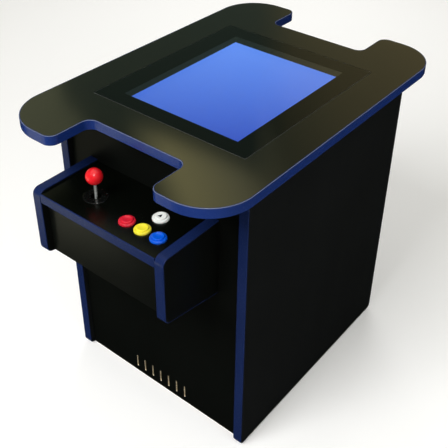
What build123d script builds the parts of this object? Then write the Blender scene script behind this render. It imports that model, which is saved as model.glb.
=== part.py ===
from build123d import *
import os

os.makedirs("parts", exist_ok=True)

# Two-player cocktail arcade table.  The origin is on the floor under the middle of the cabinet and
# +Z is up.  The first player sits at the -Y end, the second player at the +Y end.

# ---------------------------------------------------------------- driving dimensions, mm
HEIGHT = 720.0              # floor to the top of the table
BOARD = 22.0                # laminated board of the body, the table top and the cheeks
THIN_BOARD = 12.0           # front and floor of a control box, floor of the cabinet
GLIDE = 3.0                 # clear height under the moldings
BODY_WIDTH = 508.0          # over the two side panels
BODY_DEPTH = 575.0          # over the moldings of the side panels
END_RECESS = 13.0           # from those moldings back to the end panels
HOLE_ROOM = 1.0             # a blind hole is this much deeper than the pin or nail in it

TOP_WIDTH = 562.0
TOP_LENGTH = 820.0
NOTCH_WIDTH = 254.0         # cut-out of the table top above each control box
NOTCH_DEPTH = 102.0
LOBE_RADIUS = 100.0         # outer corners of the table top
TIP_RADIUS = 22.0           # inner corners of its four lobes
NOTCH_RADIUS = 20.0

GLASS = (400.0, 460.0, 5.0)
GLASS_RADIUS = 4.0
GLASS_PLAY = 0.3
GLASS_CHAMFER = 0.6
SCREEN = (300.0, 376.0)     # visible area of a 19 inch 5:4 display
MASK = 1.5                  # thickness of the mask between glass and table top
LINER = 2.5                 # wall of the mask inside the screen opening
OPENING_PLAY = 0.5          # around the liner and around the display
DISPLAY = (324.0, 404.0, 12.0)
DISPLAY_RADIUS = 3.0
DISPLAY_POCKET = 2.0        # how far the display sits up into the table top
DISPLAY_CASE = (236.0, 300.0, 34.0)
CASE_WALL = 2.0
CASE_RADIUS = 8.0
CASE_ROUND = 5.0
CASE_SLOT = (140.0, 4.0)
CASE_SLOT_PITCH = 12.0
CASE_SLOT_COUNT = 9
RAIL = (25.0, 2.0)          # width and thickness of the steel straps under the display
RAIL_FOOT = 40.0
RAIL_Y = 170.0
RAIL_PLAY = 2.0             # between the straps' uprights and the display
RAIL_SCREW_OUT = 26.0       # from the uprights to the screws

BOX_WIDTH = 352.0           # over the two cheeks of a control box
BOX_REACH = 431.0           # from the middle of the table to the cheeks' moldings
CHEEK_TOP = 595.5
CHEEK_LOW_FRONT = 441.0
CHEEK_LOW_REAR = 412.0
CHEEK_RADIUS = 13.0
PANEL_TOP = 590.6           # playing surface
PANEL_SETBACK = 1.0         # from the cheeks' moldings to the panel's molding
BOX_FRONT_SETBACK = 17.0
PANEL_PLAY = 0.5            # between the panel and each cheek
BOX_FLOOR_RISE = 3.0        # box floor above the cheeks' lower edges

CAP = 2.0                   # edge molding that stands outside the board
CAP_ROUND = 1.4
BARB = (6.0, 1.8)           # depth and thickness of the molding's barb
SAW_CUT = (7.0, 2.2)        # depth and width of the slot that takes the barb
CORNER_RADIUS = 10.0        # lower corners of the side panels
WRAP = 24.0                 # how far the molding runs on under a side panel
GLIDE_RADIUS = 10.0
GLIDE_ROUND = 1.5
GLIDE_INSET = 20.0          # from the end of a side molding to the middle of a glide
NAIL = (2.0, 16.0)          # radius and length of a glide's nail

VENT_COUNT = 7
VENT_PITCH = 25.4
VENT = (4.0, 36.0)
VENT_HEIGHT = 38.0          # height of the vents' centres
PORT_RADIUS = 20.0          # cable hole from the cabinet into each control box
PORT_HEIGHT = 520.0

HINGE_X = -258.5            # the lid's hinge line, beside the left side panel
HINGE_Z = 693.5
HINGE_PLACES = (-180.0, 180.0)
HINGE_LENGTH = 60.0
LEAF = 2.0
LEAF_WIDTH = 15.0
KNUCKLE_RADIUS = 4.3
KNUCKLE_GAP = 0.3
HINGE_PIN_RADIUS = 2.0
HINGE_PIN_PROUD = 1.5       # how far a pin stands out of its knuckles
HINGE_PIN_CHAMFER = 0.5
LID_SCREW_SPREAD = 42.0     # the two leaves' screws are staggered, so that their heads pass
FRAME_SCREW_SPREAD = 22.0

RUNNING_PLAY = 0.05         # radial play of a pin that turns in its hole
SEAT_PLAY = 0.02            # radial play of a pin that is held in its hole
SLIDING_PLAY = 0.1          # radial play of a plunger in its housing

SCREW_HEAD = (4.0, 2.0)     # radius and height
SCREW_ROUND = 1.2
SCREW_SHANK = (1.75, 14.0)  # radius and length
SCREW_PLAY = 0.1

STICK_PLACE = (-63.0, -364.5)
BUTTON_PLACES = {
    "red": (41.0, -383.5),
    "yellow": (81.0, -383.5),
    "blue": (121.0, -383.5),
    "white": (83.0, -335.5),
}
STATIONS = {"p1": 0.0, "p2": 180.0}     # turn of each station about the middle of the table

BALL_RADIUS = 17.5
BALL_HEIGHT = 48.0          # ball centre above the playing surface
SHAFT_RADIUS = 3.5
SHAFT_END = -64.0
SHAFT_CHAMFER = 0.6
SHAFT_IN_BALL = 5.0         # how far the shaft runs past the ball's centre
PIVOT = -33.0               # height of the stick's pivot, from the playing surface
PIVOT_PIN_RADIUS = 1.5
PIVOT_PIN_HALF = 9.5        # half the length of the pin across the stick
TRUNNION_RADIUS = 2.0
TRUNNION_HALF = 16.0        # half the length over the ring's two trunnions
RING = (10.0, 6.5, 7.0)     # outer radius, inner radius and height of the pivot ring
PANEL_HOLE_RADIUS = 12.0
WASHER = (26.0, 10.4, 1.4)  # outer radius, hole radius and thickness
WASHER_LIFT = 0.1
WASHER_ROUND = 0.8
STICK_PLATE = (96.0, 50.0, 2.0)
STICK_PLATE_RADIUS = 4.0
STICK_SCREWS = (84.0, 38.0)
STICK_BOX = (52.0, 3.0)     # outside size and wall of the stick's housing
STICK_BOX_TOP = 2.0         # thickness of the housing's upper wall
POST = (8.0, 9.0)           # the posts that hold the trunnions
POST_GAP = 0.6
POST_BELOW = 5.0            # how far the posts run below the pivot
GATE = (3.0, 15.4)          # thickness and square opening of the gate that limits the stick
GATE_RISE = 4.0             # gate's upper face above the end of the shaft
ACTUATOR = (8.0, 12.0)
ACTUATOR_TOP = -46.0
ACTUATOR_CHAMFER = 1.5
STICK_SWITCH = (20.0, 10.0, 7.0)    # width, height and depth of a microswitch beside the stick
STICK_SWITCH_OUT = 14.0             # from the stick's axis to the switch
STICK_SWITCH_DROP = 6.0             # middle of the switch below the actuator's top
CONTACT = (3.0, 2.0)                # size and travel height of the switch's contact button
CONTACT_DROP = 4.0
SPRING_RADIUS = 5.5
SPRING_WIRE = 0.5
SPRING_PITCH = 1.7
SPRING_HEIGHT = 5.1

RIM = (17.0, 4.5)           # radius and height of a button's rim
RIM_ROUND = 3.0
BARREL_RADIUS = 14.0
BARREL_END = -38.0
BORE_RADIUS = 12.1
BORE_FLOOR = -30.0
STEM_RADIUS = 4.0
BUTTON_PROUD = 7.5          # top of a plunger above the playing surface
CROWN_END = -20.0           # underside of the plunger's crown
CROWN_ROUND = 1.6
DISH = (40.0, 1.0)          # radius and depth of the fingertip's dish
STEM_END = -34.5
NUT = (17.5, 8.0)
NUT_GRIP = (2.5, 1.5)       # radius of a grip notch, and its centre's distance outside the nut
NUT_GRIP_COUNT = 12
SWITCH = (28.0, 11.0, 15.0)
TERMINAL = (4.8, 0.8, 7.0)
TERMINAL_PITCH = 9.0
TERMINAL_COUNT = 3

INLET_PLACE = (150.0, 90.0)     # x and z of the mains inlet on the rear panel
INLET_BODY = (28.0, 58.0, 26.0)
INLET_FLANGE = (34.0, 66.0, 2.0)
INLET_RADIUS = 3.0
INLET_CHAMFER = 0.7
SOCKET = (23.0, 16.0, 14.0)
SOCKET_DROP = 13.0
SOCKET_CHAMFER = 4.0
SOCKET_PIN = (2.0, 4.0)
SOCKET_PIN_SHORT = 2.0      # how far the pins end below the socket's face
SOCKET_PIN_PLACES = ((-7.0, 2.0), (0.0, -2.0), (7.0, 2.0))
ROCKER_RISE = 14.0
ROCKER_RADIUS = 10.3
ROCKER_WIDTH = 11.0
ROCKER_PROUD = 4.5
ROCKER_BACK = 5.0
ROCKER_PIN = (1.5, 3.0)
ROCKER_PIN_PLAY = 0.5       # at each end of the rocker's pin
ROCKER_PLAY = 0.4           # around the rocker

PCB = (220.0, 160.0, 1.6)
STANDOFF = (3.5, 8.0)
STANDOFF_INSET = 10.0
CHIP_HEIGHT = 5.0
PROCESSOR = 42.0
PROCESSOR_X = -40.0
FIN = (2.0, 40.0, 14.0)     # fins of the heat sink on the processor
FIN_PITCH = 6.0
FIN_COUNT = 7
MEMORY = (60.0, 12.0)
MEMORY_X = 50.0
MEMORY_PITCH = 26.0
MEMORY_COUNT = 4
CONNECTOR = (70.0, 10.0, 11.0)
CONNECTOR_PLACE = (40.0, 71.0)

POWER_SUPPLY = (90.0, 160.0, 45.0)
SUPPLY_GAP = 10.0           # from the right side panel
SUPPLY_RADIUS = 3.0
SUPPLY_VENT = (2.5, 3.0)    # radius and depth
SUPPLY_VENT_PITCH = 9.0
SUPPLY_VENT_COUNTS = (7, 10)

SPEAKER_PLACE = (120.0, 160.0)
SPEAKER_FLANGE = (51.0, 3.0)
SPEAKER_CONE = (46.0, 24.0, 22.0)   # wide radius, narrow radius, depth from the panel
SPEAKER_MAGNET = (30.0, 14.0)

HARNESS_RADIUS = 5.0
HARNESS_WAY = ((-20.0, -190.0, 130.0), (0.0, -205.0, 380.0))
HARNESS_END = (0.0, -330.0, 506.0)

# ---------------------------------------------------------------- sizes that follow
side_outer = BODY_WIDTH / 2
side_inner = side_outer - BOARD
side_middle = side_outer - BOARD / 2
edge_y = BODY_DEPTH / 2 - CAP
board_bottom = GLIDE + CAP
end_outer = BODY_DEPTH / 2 - END_RECESS
end_inner = end_outer - BOARD
floor_top = board_bottom + THIN_BOARD
slab_bottom = HEIGHT - BOARD
slab_middle = HEIGHT - BOARD / 2
rebate_depth = GLASS[2] + MASK
mask_bottom = HEIGHT - rebate_depth
display_face = slab_bottom + DISPLAY_POCKET
display_back = display_face - DISPLAY[2]
cheek_outer = BOX_WIDTH / 2
cheek_inner = cheek_outer - BOARD
cheek_front = BOX_REACH - CAP
cheek_slope = (CHEEK_LOW_FRONT - CHEEK_LOW_REAR) / (BOX_REACH - end_outer)
panel_bottom = PANEL_TOP - BOARD
panel_front = BOX_REACH - PANEL_SETBACK - CAP
panel_half = cheek_inner - PANEL_PLAY
box_face = BOX_REACH - BOX_FRONT_SETBACK
plate_bottom = -BOARD - STICK_PLATE[2]
pilot_radius = SCREW_SHANK[0] + SCREW_PLAY
leaf_x = HINGE_X - KNUCKLE_RADIUS - KNUCKLE_GAP
leaf_z = HINGE_Z - KNUCKLE_RADIUS - KNUCKLE_GAP
lid_screw_ys = [y + s * LID_SCREW_SPREAD / 2 for y in HINGE_PLACES for s in (-1, 1)]
frame_screw_ys = [y + s * FRAME_SCREW_SPREAD / 2 for y in HINGE_PLACES for s in (-1, 1)]
hinge_screw_x = leaf_x - LEAF_WIDTH / 2
hinge_screw_z = leaf_z - LEAF_WIDTH / 2
rail_gap = DISPLAY[0] / 2 + RAIL_PLAY
rail_screw_x = rail_gap + RAIL_SCREW_OUT
glide_y = edge_y - WRAP - GLIDE_INSET
glide_places = [(x, y) for x in (-side_middle, side_middle) for y in (-glide_y, glide_y)]
supply_x = side_inner - SUPPLY_GAP - POWER_SUPPLY[0] / 2
pcb_top = floor_top + STANDOFF[1] + PCB[2]


# ---------------------------------------------------------------- edge moldings
def start_of(run, facing):
    """Plane across the start of a run, its x axis pointing out of the board's edge."""
    along = run % 0
    return Plane(origin=run @ 0, x_dir=along.cross(Vector(*facing)), z_dir=along)


def molding(run, facing):
    """T-shaped edge molding swept along a run of board edge, seen with the board on its left."""
    with BuildPart() as strip:
        with BuildSketch(start_of(run, facing)) as section:
            Rectangle(CAP, BOARD, align=(Align.MIN, Align.CENTER))
            fillet(section.vertices().group_by(Axis.X)[-1], CAP_ROUND)
            Rectangle(BARB[0], BARB[1], align=(Align.MAX, Align.CENTER))
        sweep(path=run)
    return strip.part


def saw_cut(run, facing):
    """The slot that a molding's barb goes into."""
    with BuildPart() as slot:
        with BuildSketch(start_of(run, facing)):
            Rectangle(SAW_CUT[0], SAW_CUT[1], align=(Align.MAX, Align.CENTER))
        sweep(path=run)
    return slot.part


# ---------------------------------------------------------------- screws
with BuildPart() as screw:
    # The head hangs below the local origin and the shank runs up along +Z.
    with BuildSketch(Plane.XY.offset(-SCREW_HEAD[1])):
        Circle(SCREW_HEAD[0])
    extrude(amount=SCREW_HEAD[1])
    fillet(screw.edges().sort_by(Axis.Z)[0], SCREW_ROUND)
    with BuildSketch(Plane.XY):
        Circle(SCREW_SHANK[0])
    extrude(amount=SCREW_SHANK[1])


# ---------------------------------------------------------------- side panels and their moldings
with BuildLine(Plane.YZ.offset(side_middle)) as side_run:
    FilletPolyline(
        (-edge_y, slab_bottom), (-edge_y, board_bottom), (-edge_y + WRAP, board_bottom),
        radius=CORNER_RADIUS,
    )

with BuildPart() as right_side_panel:
    with BuildSketch(Plane.YZ.offset(side_inner)) as side_profile:
        with Locations((0, (slab_bottom + board_bottom) / 2)):
            Rectangle(2 * edge_y, slab_bottom - board_bottom)
        fillet(side_profile.vertices().group_by(Axis.Y)[0], CORNER_RADIUS)
    extrude(amount=BOARD)
    slot = saw_cut(side_run.wire(), (1, 0, 0))
    add(slot, mode=Mode.SUBTRACT)
    add(slot.mirror(Plane.XZ), mode=Mode.SUBTRACT)
    with BuildSketch(Plane.XY.offset(board_bottom)):
        with Locations(*glide_places[2:]):
            Circle(NAIL[0] + SCREW_PLAY)
    extrude(amount=NAIL[1] + HOLE_ROOM, mode=Mode.SUBTRACT)
right_side_panel.part.label = "right_side_panel"
export_step(right_side_panel.part, "parts/right_side_panel.step")

with BuildPart() as left_side_panel:
    add(right_side_panel.part.mirror(Plane.YZ))
    with BuildSketch(Plane.YZ.offset(-side_outer)):
        with Locations(*[(y, hinge_screw_z) for y in frame_screw_ys]):
            Circle(pilot_radius)
    extrude(amount=SCREW_SHANK[1], mode=Mode.SUBTRACT)
left_side_panel.part.label = "left_side_panel"
export_step(left_side_panel.part, "parts/left_side_panel.step")

with BuildPart() as side_moldings:
    add(molding(side_run.wire(), (1, 0, 0)))
    mirror(about=Plane.XZ)
    mirror(about=Plane.YZ)
side_moldings.part.label = "side_moldings"
export_step(side_moldings.part, "parts/side_moldings.step")

with BuildPart() as glide_feet:
    with BuildSketch(Plane.XY):
        with Locations(*glide_places):
            Circle(GLIDE_RADIUS)
    extrude(amount=board_bottom)
    fillet(glide_feet.edges().group_by(Axis.Z)[0], GLIDE_ROUND)
    with BuildSketch(Plane.XY.offset(board_bottom)):
        with Locations(*glide_places):
            Circle(NAIL[0])
    extrude(amount=NAIL[1])
glide_feet.part.label = "glide_feet"
export_step(glide_feet.part, "parts/glide_feet.step")


# ---------------------------------------------------------------- end panels and floor
with BuildPart() as front_panel:
    with BuildSketch(Plane.XZ.offset(end_outer)):
        with Locations((0, (slab_bottom + board_bottom) / 2)):
            Rectangle(2 * side_inner, slab_bottom - board_bottom)
        with Locations((0, VENT_HEIGHT)):
            with GridLocations(VENT_PITCH, 0, VENT_COUNT, 1):
                SlotOverall(VENT[1], VENT[0], rotation=90, mode=Mode.SUBTRACT)
        with Locations((0, PORT_HEIGHT)):
            Circle(PORT_RADIUS, mode=Mode.SUBTRACT)
    extrude(amount=-BOARD)
front_panel.part.label = "front_panel"
export_step(front_panel.part, "parts/front_panel.step")

inlet_plane = Plane(origin=(INLET_PLACE[0], end_outer, INLET_PLACE[1]), x_dir=(-1, 0, 0), z_dir=(0, 1, 0))

with BuildPart() as rear_panel:
    add(front_panel.part.mirror(Plane.XZ))
    with BuildSketch(inlet_plane):
        Rectangle(INLET_BODY[0] + 2 * SCREW_PLAY, INLET_BODY[1] + 2 * SCREW_PLAY)
    extrude(amount=-BOARD, mode=Mode.SUBTRACT)
rear_panel.part.label = "rear_panel"
export_step(rear_panel.part, "parts/rear_panel.step")

with BuildPart() as bottom_panel:
    with BuildSketch(Plane.XY.offset(board_bottom)):
        Rectangle(2 * side_inner, 2 * end_inner)
    extrude(amount=THIN_BOARD)
bottom_panel.part.label = "bottom_panel"
export_step(bottom_panel.part, "parts/bottom_panel.step")


# ---------------------------------------------------------------- table top, its molding and glass
def table_outline(inset):
    """Outline of the table top, moved in from its outer edge."""
    with BuildSketch() as shape:
        Rectangle(TOP_WIDTH - 2 * inset, TOP_LENGTH - 2 * inset)
        with Locations((0, TOP_LENGTH / 2), (0, -TOP_LENGTH / 2)):
            Rectangle(NOTCH_WIDTH + 2 * inset, 2 * (NOTCH_DEPTH + inset), mode=Mode.SUBTRACT)
        margin = 1.0
        near_notch = NOTCH_WIDTH / 2 + inset + margin
        lobe_end = TOP_LENGTH / 2 - inset - margin
        notch_corners = shape.vertices().filter_by(lambda v: abs(v.X) < near_notch and abs(v.Y) < lobe_end)
        fillet(notch_corners, NOTCH_RADIUS + inset)
        tips = shape.vertices().filter_by(lambda v: abs(v.X) < near_notch and abs(v.Y) > lobe_end)
        fillet(tips, TIP_RADIUS - inset)
        corners = shape.vertices().group_by(Axis.X)
        fillet(corners[0] + corners[-1], LOBE_RADIUS - inset)
    return shape.face()


top_run = table_outline(CAP).moved(Location((0, 0, slab_middle))).outer_wire()

with BuildPart() as table_top:
    with BuildSketch(Plane.XY.offset(slab_bottom)):
        add(table_outline(CAP))
        wall = LINER + OPENING_PLAY
        Rectangle(SCREEN[0] + 2 * wall, SCREEN[1] + 2 * wall, mode=Mode.SUBTRACT)
    extrude(amount=BOARD)
    add(saw_cut(top_run, (0, 0, 1)), mode=Mode.SUBTRACT)
    with BuildSketch(Plane.XY.offset(mask_bottom)):
        RectangleRounded(GLASS[0] + 2 * GLASS_PLAY, GLASS[1] + 2 * GLASS_PLAY, GLASS_RADIUS)
    extrude(amount=rebate_depth, mode=Mode.SUBTRACT)
    with BuildSketch(Plane.XY.offset(slab_bottom)):
        Rectangle(DISPLAY[0] + 2 * OPENING_PLAY, DISPLAY[1] + 2 * OPENING_PLAY)
    extrude(amount=DISPLAY_POCKET, mode=Mode.SUBTRACT)
    with BuildSketch(Plane.XY.offset(slab_bottom)):
        with Locations(*[(hinge_screw_x, y) for y in lid_screw_ys]):
            Circle(pilot_radius)
        with GridLocations(2 * rail_screw_x, 2 * RAIL_Y, 2, 2):
            Circle(pilot_radius)
    extrude(amount=SCREW_SHANK[1], mode=Mode.SUBTRACT)
table_top.part.label = "table_top"
export_step(table_top.part, "parts/table_top.step")

with BuildPart() as table_top_molding:
    add(molding(top_run, (0, 0, 1)))
table_top_molding.part.label = "table_top_molding"
export_step(table_top_molding.part, "parts/table_top_molding.step")

with BuildPart() as top_glass:
    with BuildSketch(Plane.XY.offset(HEIGHT - GLASS[2])):
        RectangleRounded(GLASS[0], GLASS[1], GLASS_RADIUS)
    extrude(amount=GLASS[2])
    chamfer(top_glass.faces().sort_by(Axis.Z)[-1].edges(), GLASS_CHAMFER)
top_glass.part.label = "top_glass"
export_step(top_glass.part, "parts/top_glass.step")


# ---------------------------------------------------------------- display
with BuildPart() as monitor_bezel:
    with BuildSketch(Plane.XY.offset(mask_bottom)):
        RectangleRounded(GLASS[0], GLASS[1], GLASS_RADIUS)
    extrude(amount=MASK)
    with BuildSketch(Plane.XY.offset(display_face)):
        Rectangle(SCREEN[0] + 2 * LINER, SCREEN[1] + 2 * LINER)
    extrude(amount=mask_bottom - display_face)
    with BuildSketch(Plane.XY.offset(display_face)):
        Rectangle(SCREEN[0], SCREEN[1])
    extrude(amount=mask_bottom + MASK - display_face, mode=Mode.SUBTRACT)
monitor_bezel.part.label = "monitor_bezel"
export_step(monitor_bezel.part, "parts/monitor_bezel.step")

with BuildPart() as monitor_screen:
    with BuildSketch(Plane.XY.offset(display_back)):
        RectangleRounded(DISPLAY[0], DISPLAY[1], DISPLAY_RADIUS)
    extrude(amount=DISPLAY[2])
monitor_screen.part.label = "monitor_screen"
export_step(monitor_screen.part, "parts/monitor_screen.step")

with BuildPart() as monitor_case:
    with BuildSketch(Plane.XY.offset(display_back)):
        RectangleRounded(DISPLAY_CASE[0], DISPLAY_CASE[1], CASE_RADIUS)
    extrude(amount=-DISPLAY_CASE[2])
    fillet(monitor_case.faces().sort_by(Axis.Z)[0].edges(), CASE_ROUND)
    with BuildSketch(Plane.XY.offset(display_back)) as case_space:
        Rectangle(DISPLAY_CASE[0] - 2 * CASE_WALL, DISPLAY_CASE[1] - 2 * CASE_WALL)
        fillet(case_space.vertices(), CASE_RADIUS - CASE_WALL)
    extrude(amount=CASE_WALL - DISPLAY_CASE[2], mode=Mode.SUBTRACT)
    with BuildSketch(Plane.XY.offset(display_back - DISPLAY_CASE[2])):
        with GridLocations(0, CASE_SLOT_PITCH, 1, CASE_SLOT_COUNT):
            SlotOverall(CASE_SLOT[0], CASE_SLOT[1])
    extrude(amount=CASE_WALL, mode=Mode.SUBTRACT)
monitor_case.part.label = "monitor_case"
export_step(monitor_case.part, "parts/monitor_case.step")

with BuildPart() as monitor_rails:
    for y in (-RAIL_Y, RAIL_Y):
        with BuildSketch(Plane.XZ.offset(-y)):
            with Locations((0, slab_bottom)):
                Rectangle(2 * (rail_gap + RAIL_FOOT), RAIL[1], align=(Align.CENTER, Align.MAX))
            with Locations((0, display_back - RAIL[1])):
                Rectangle(
                    2 * (rail_gap + RAIL[1]), slab_bottom - display_back + RAIL[1],
                    align=(Align.CENTER, Align.MIN),
                )
            with Locations((0, display_back)):
                Rectangle(
                    2 * rail_gap, slab_bottom - display_back,
                    align=(Align.CENTER, Align.MIN), mode=Mode.SUBTRACT,
                )
        extrude(amount=RAIL[0] / 2, both=True)
    with BuildSketch(Plane.XY.offset(slab_bottom)):
        with GridLocations(2 * rail_screw_x, 2 * RAIL_Y, 2, 2):
            Circle(pilot_radius)
    extrude(amount=-RAIL[1], mode=Mode.SUBTRACT)
monitor_rails.part.label = "monitor_rails"
export_step(monitor_rails.part, "parts/monitor_rails.step")


# ---------------------------------------------------------------- lid hinges
knuckle = HINGE_LENGTH / 3
lid_knuckles = [(y, knuckle - 2 * KNUCKLE_GAP) for y in HINGE_PLACES]
frame_knuckles = [(y + s * knuckle, knuckle) for y in HINGE_PLACES for s in (-1, 1)]

with BuildPart() as hinge_lid_leaves:
    for y in HINGE_PLACES:
        with BuildSketch(Plane.XZ.offset(-y)):
            with Locations((leaf_x, slab_bottom)):
                Rectangle(LEAF_WIDTH, LEAF, align=(Align.MAX, Align.MAX))
        extrude(amount=HINGE_LENGTH / 2, both=True)
    for y, length in lid_knuckles:
        with BuildSketch(Plane.XZ.offset(-y)):
            with Locations((HINGE_X, HINGE_Z)):
                Circle(KNUCKLE_RADIUS)
            with Locations((HINGE_X, HINGE_Z + KNUCKLE_RADIUS)):
                Rectangle(HINGE_X - leaf_x + LEAF, LEAF, align=(Align.MAX, Align.MAX))
        extrude(amount=length / 2, both=True)
    with BuildSketch(Plane.XZ):
        with Locations((HINGE_X, HINGE_Z)):
            Circle(HINGE_PIN_RADIUS + RUNNING_PLAY)
    extrude(amount=TOP_LENGTH / 2, both=True, mode=Mode.SUBTRACT)
    with BuildSketch(Plane.XY.offset(slab_bottom)):
        with Locations(*[(hinge_screw_x, y) for y in lid_screw_ys]):
            Circle(pilot_radius)
    extrude(amount=-LEAF, mode=Mode.SUBTRACT)
hinge_lid_leaves.part.label = "hinge_lid_leaves"
export_step(hinge_lid_leaves.part, "parts/hinge_lid_leaves.step")

with BuildPart() as hinge_frame_leaves:
    for y in HINGE_PLACES:
        with BuildSketch(Plane.XZ.offset(-y)):
            with Locations((-side_outer, leaf_z)):
                Rectangle(LEAF, LEAF_WIDTH, align=(Align.MAX, Align.MAX))
        extrude(amount=HINGE_LENGTH / 2, both=True)
    for y, length in frame_knuckles:
        with BuildSketch(Plane.XZ.offset(-y)):
            with Locations((HINGE_X, HINGE_Z)):
                Circle(KNUCKLE_RADIUS)
            with Locations((HINGE_X + KNUCKLE_RADIUS, HINGE_Z)):
                Rectangle(LEAF, HINGE_Z - leaf_z + LEAF, align=(Align.MAX, Align.MAX))
        extrude(amount=length / 2, both=True)
    with BuildSketch(Plane.XZ):
        with Locations((HINGE_X, HINGE_Z)):
            Circle(HINGE_PIN_RADIUS + SEAT_PLAY)
    extrude(amount=TOP_LENGTH / 2, both=True, mode=Mode.SUBTRACT)
    with BuildSketch(Plane.YZ.offset(-side_outer)):
        with Locations(*[(y, hinge_screw_z) for y in frame_screw_ys]):
            Circle(pilot_radius)
    extrude(amount=-LEAF, mode=Mode.SUBTRACT)
hinge_frame_leaves.part.label = "hinge_frame_leaves"
export_step(hinge_frame_leaves.part, "parts/hinge_frame_leaves.step")

with BuildPart() as hinge_pins:
    for y in HINGE_PLACES:
        with BuildSketch(Plane.XZ.offset(-y)):
            with Locations((HINGE_X, HINGE_Z)):
                Circle(HINGE_PIN_RADIUS)
        extrude(amount=HINGE_LENGTH / 2 + HINGE_PIN_PROUD, both=True)
    chamfer(hinge_pins.edges().filter_by(GeomType.CIRCLE), HINGE_PIN_CHAMFER)
hinge_pins.part.label = "hinge_pins"
export_step(hinge_pins.part, "parts/hinge_pins.step")

with BuildPart() as lid_screws:
    with Locations(*[(hinge_screw_x, y, slab_bottom - LEAF) for y in lid_screw_ys]):
        add(screw.part)
    with Locations((0, 0, slab_bottom - RAIL[1])):
        with GridLocations(2 * rail_screw_x, 2 * RAIL_Y, 2, 2):
            add(screw.part)
lid_screws.part.label = "lid_screws"
export_step(lid_screws.part, "parts/lid_screws.step")


# ---------------------------------------------------------------- control boxes
cheek_corners = [
    (-end_outer, CHEEK_TOP - CAP),
    (-cheek_front, CHEEK_TOP - CAP),
    (-cheek_front, CHEEK_LOW_FRONT + CAP),
    (-end_outer, CHEEK_LOW_REAR + CAP),
]
with BuildLine(Plane.YZ) as cheek_run:
    FilletPolyline(*cheek_corners, radius=CHEEK_RADIUS)
cheek_middle = Location((cheek_outer - BOARD / 2, 0, 0))
cheek_wire = cheek_run.wire().moved(cheek_middle)

with BuildPart() as box_cheeks:
    with BuildSketch(Plane.YZ.offset(cheek_inner)):
        with BuildLine():
            FilletPolyline(*cheek_corners, radius=CHEEK_RADIUS)
            Line(cheek_corners[-1], cheek_corners[0])
        make_face()
    extrude(amount=BOARD)
    add(saw_cut(cheek_wire, (1, 0, 0)), mode=Mode.SUBTRACT)
    mirror(about=Plane.YZ)
    mirror(about=Plane.XZ)
box_cheeks.part.label = "box_cheeks"
export_step(box_cheeks.part, "parts/box_cheeks.step")

with BuildPart() as cheek_moldings:
    add(molding(cheek_wire, (1, 0, 0)))
    split(bisect_by=Plane.XZ.offset(end_outer), keep=Keep.TOP)
    mirror(about=Plane.YZ)
    mirror(about=Plane.XZ)
cheek_moldings.part.label = "cheek_moldings"
export_step(cheek_moldings.part, "parts/cheek_moldings.step")

with BuildPart() as box_fronts:
    with BuildSketch(Plane.XZ.offset(box_face)):
        with Locations((0, panel_bottom)):
            Rectangle(2 * cheek_inner, panel_bottom - CHEEK_LOW_FRONT, align=(Align.CENTER, Align.MAX))
    extrude(amount=-THIN_BOARD)
    mirror(about=Plane.XZ)
box_fronts.part.label = "box_fronts"
export_step(box_fronts.part, "parts/box_fronts.step")

floor_front_y = box_face - THIN_BOARD
floor_front_z = CHEEK_LOW_FRONT + BOX_FLOOR_RISE - cheek_slope * (BOX_REACH - floor_front_y)
floor_rear_z = CHEEK_LOW_REAR + BOX_FLOOR_RISE

with BuildPart() as box_floors:
    with BuildSketch(Plane.YZ):
        with BuildLine():
            Polyline(
                (-floor_front_y, floor_front_z), (-end_outer, floor_rear_z),
                (-end_outer, floor_rear_z + THIN_BOARD), (-floor_front_y, floor_front_z + THIN_BOARD),
                close=True,
            )
        make_face()
    extrude(amount=cheek_inner, both=True)
    mirror(about=Plane.XZ)
box_floors.part.label = "box_floors"
export_step(box_floors.part, "parts/box_floors.step")

with BuildLine(Plane.XY.offset(panel_bottom + BOARD / 2)) as panel_run:
    Line((-panel_half, -panel_front), (panel_half, -panel_front))

with BuildPart() as one_panel:
    with BuildSketch(Plane.XY.offset(panel_bottom)):
        with Locations((0, -end_outer)):
            Rectangle(2 * panel_half, panel_front - end_outer, align=(Align.CENTER, Align.MAX))
        with Locations(STICK_PLACE):
            Circle(PANEL_HOLE_RADIUS, mode=Mode.SUBTRACT)
        with Locations(*BUTTON_PLACES.values()):
            Circle(BARREL_RADIUS + SLIDING_PLAY, mode=Mode.SUBTRACT)
    extrude(amount=BOARD)
    add(saw_cut(panel_run.wire(), (0, 0, 1)), mode=Mode.SUBTRACT)
    with BuildSketch(Plane.XY.offset(panel_bottom)):
        with Locations(STICK_PLACE):
            with GridLocations(STICK_SCREWS[0], STICK_SCREWS[1], 2, 2):
                Circle(pilot_radius)
    extrude(amount=SCREW_SHANK[1], mode=Mode.SUBTRACT)

with BuildPart() as control_panels:
    with PolarLocations(0, 2):
        add(one_panel.part)
control_panels.part.label = "control_panels"
export_step(control_panels.part, "parts/control_panels.step")

with BuildPart() as panel_moldings:
    add(molding(panel_run.wire(), (0, 0, 1)))
    mirror(about=Plane.XZ)
panel_moldings.part.label = "panel_moldings"
export_step(panel_moldings.part, "parts/panel_moldings.step")


# ---------------------------------------------------------------- joysticks, local origin on the panel
with BuildPart() as stick_ball:
    with BuildSketch(Plane.XZ):
        with Locations((0, BALL_HEIGHT)):
            Circle(BALL_RADIUS)
        Rectangle(2 * BALL_RADIUS, 4 * BALL_HEIGHT, align=(Align.MAX, Align.CENTER), mode=Mode.SUBTRACT)
        Rectangle(
            SHAFT_RADIUS + SEAT_PLAY, BALL_HEIGHT + SHAFT_IN_BALL + HOLE_ROOM,
            align=(Align.MIN, Align.MIN), mode=Mode.SUBTRACT,
        )
    revolve(axis=Axis.Z)

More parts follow.
